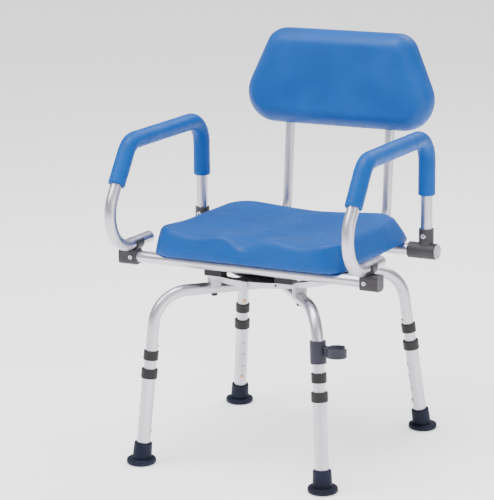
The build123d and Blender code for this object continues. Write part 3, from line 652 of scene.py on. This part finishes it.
# The floor's rim stands this far out from the face that the head sits on.
RECESS_OUT = 1.6
BACK_RECESS_OUT = 1.7

CLIP_SCREW_R = 4.6
CLIP_HALF_DEPTH = 14
TEE_SCREW_R = 5.0
TEE_SCREW_Z = 411.5
TEE_SOCKET_R = 14.3
BACK_SCREW_R = 5.0
BACK_SCREW_X = 108.5
BACK_SCREW_Z = (625.0, 705.0)
BACK_BOARD_T = 3.5


def make_recess_floors(name, spots, head_radius, body):
    """Floors of the hexagonal recesses in screw heads, each a shallow six-sided cone; their near-black
    colour is painted shade for the dark deep inside the holes.
    """
    vertices, faces = [], []
    radius = head_radius * RECESS_SHARE * MM
    for at, out in spots:
        across = out.orthogonal().normalized()
        first = len(vertices)
        middle = first + RECESS_SIDES
        vertices += circle_points(at, across, out.cross(across), radius, RECESS_SIDES)
        vertices.append(at - out * RECESS_DEPTH * MM)
        faces += [(first + k, first + (k + 1) % RECESS_SIDES, middle) for k in range(RECESS_SIDES)]
    # The near-black material here is painted shade inside the recess, not a darker metal.
    piece = new_piece(name, vertices, faces, MATERIALS["dark_steel"], body, smooth=False)


def make_screw_recesses():
    forward = Vector((0, -1, 0))
    clip_y = AXIS_Y - RAIL_Y - (CLIP_HALF_DEPTH + RECESS_OUT) * MM
    spots = [(Vector((side * ARM_X, clip_y, RAIL_Z)), forward) for side in SIDES.values()]
    make_recess_floors("clip_screw_sockets", spots, CLIP_SCREW_R, "seat")
    tee_y = AXIS_Y + (TEE_Y - TEE_SOCKET_R - RECESS_OUT) * MM
    for name, side in SIDES.items():
        at = Vector((side * ARM_X, tee_y, TEE_SCREW_Z * MM))
        make_recess_floors(f"tee_screw_socket_{name}", [(at, forward)], TEE_SCREW_R, f"arm_{name}")
    rearward = Vector((0, math.cos(LEAN), -math.sin(LEAN)))
    off = (BACK_OFF + BACK_BOARD_T + BACK_RECESS_OUT) * MM
    spots = []
    for x in (-BACK_SCREW_X, BACK_SCREW_X):
        for z in BACK_SCREW_Z:
            on_post = back_place(x, (z - PAD_LOW) / math.cos(LEAN), 0)
            spots.append((on_post + rearward * off, rearward))
    make_recess_floors("back_screw_sockets", spots, BACK_SCREW_R, "seat")


# ---- weld beads --------------------------------------------------------------------

# The frame tubes' axes lie at this height. A leg stands at an angle from the x axis, its foot at a
# distance from the turning axis, and leans inward by the splay for each millimetre of height.
FRAME_Z = 328.0
LEG_ANGLE = {"f": 48.3, "r": 46.6}
LEG_FOOT = {"f": 285.0, "r": 297.0}
LEG_SPLAY = {"f": 0.110, "r": 0.150}
BEAD_R = 1.7
BEAD_RIPPLE = 0.3
BEAD_RIPPLE_STEPS = 4
BEAD_STEPS = 72
BEAD_AROUND = 10


def frame_corner(corner):
    """Where the axes of a leg and its frame tube cross; a corner is f or r, then l or r."""
    end, hand = corner
    reach = (LEG_FOOT[end] - LEG_SPLAY[end] * FRAME_Z) * MM
    angle = math.radians(LEG_ANGLE[end])
    x = math.cos(angle) * reach * (-1 if hand == "l" else 1)
    y = math.sin(angle) * reach * (-1 if end == "f" else 1)
    return Vector((x, AXIS_Y + y, FRAME_Z * MM))


def make_weld_beads():
    """Rippled beads where the two half tubes are welded to the main tube."""
    start, end = frame_corner("fl"), frame_corner("rr")
    middle = (start + end) / 2
    main = (end - start).normalized()
    tube = TUBE_R * MM
    for corner, name in (("fr", "front"), ("rl", "rear")):
        branch = (frame_corner(corner) - middle).normalized()
        side = branch.cross(UP)
        run = branch - main * branch.dot(main)
        line = []
        for off in circle_points(Vector(), side, UP, tube, BEAD_STEPS):
            # how far along the branch a line on its surface leaves the main tube
            flat = off - main * off.dot(main)
            a, b, c = run.dot(run), 2 * flat.dot(run), flat.dot(flat) - tube ** 2
            reach = (-b + math.sqrt(max(0.0, b * b - 4 * a * c))) / (2 * a)
            line.append((middle + off + branch * reach, off.normalized()))
        vertices = []
        for k, (at, out) in enumerate(line):
            along = (line[(k + 1) % BEAD_STEPS][0] - line[k - 1][0]).normalized()
            other = along.cross(out).normalized()
            ripple = BEAD_RIPPLE * math.sin(2 * math.pi * k / BEAD_RIPPLE_STEPS)
            radius = (BEAD_R + ripple) * MM
            vertices += circle_points(at, out, other, radius, BEAD_AROUND)
        faces = rings_to_faces(BEAD_STEPS, BEAD_AROUND, closed=True)
        bead = new_piece(f"weld_bead_{name}", vertices, faces, MATERIALS["aluminium"], "base")


# ---- floor -----------------------------------------------------------------------

FLOOR_HALF = 16.0
FLOOR_GLOW = 1.0
WHITE = (1.0, 1.0, 1.0, 1)


def make_floor():
    """A wide white floor that glows a little, so that it fades out like a paper sweep."""
    half = FLOOR_HALF
    corners = [(-half, -half, 0), (half, -half, 0), (half, half, 0), (-half, half, 0)]
    mesh = bpy.data.meshes.new("floor")
    mesh.from_pydata(corners, [], [(0, 1, 2, 3)])
    floor = bpy.data.objects.new("floor", mesh)
    bpy.context.collection.objects.link(floor)
    paint = Paint("floor", (0.92, 0.92, 0.93), roughness=0.7)
    paint.vary_color(paint.noise(scale=3, detail=3), dark=0.99, light=1.01)
    paint.set("Emission Color", WHITE)
    paint.set("Emission Strength", FLOOR_GLOW)
    mesh.materials.append(paint.material)


make_camera()
make_studio()
make_floor()
paint_nodes()
make_seat_pad()
make_back_pad()
for arm_name, arm_side in SIDES.items():
    make_sleeve(arm_name, arm_side)
make_screw_recesses()
make_weld_beads()
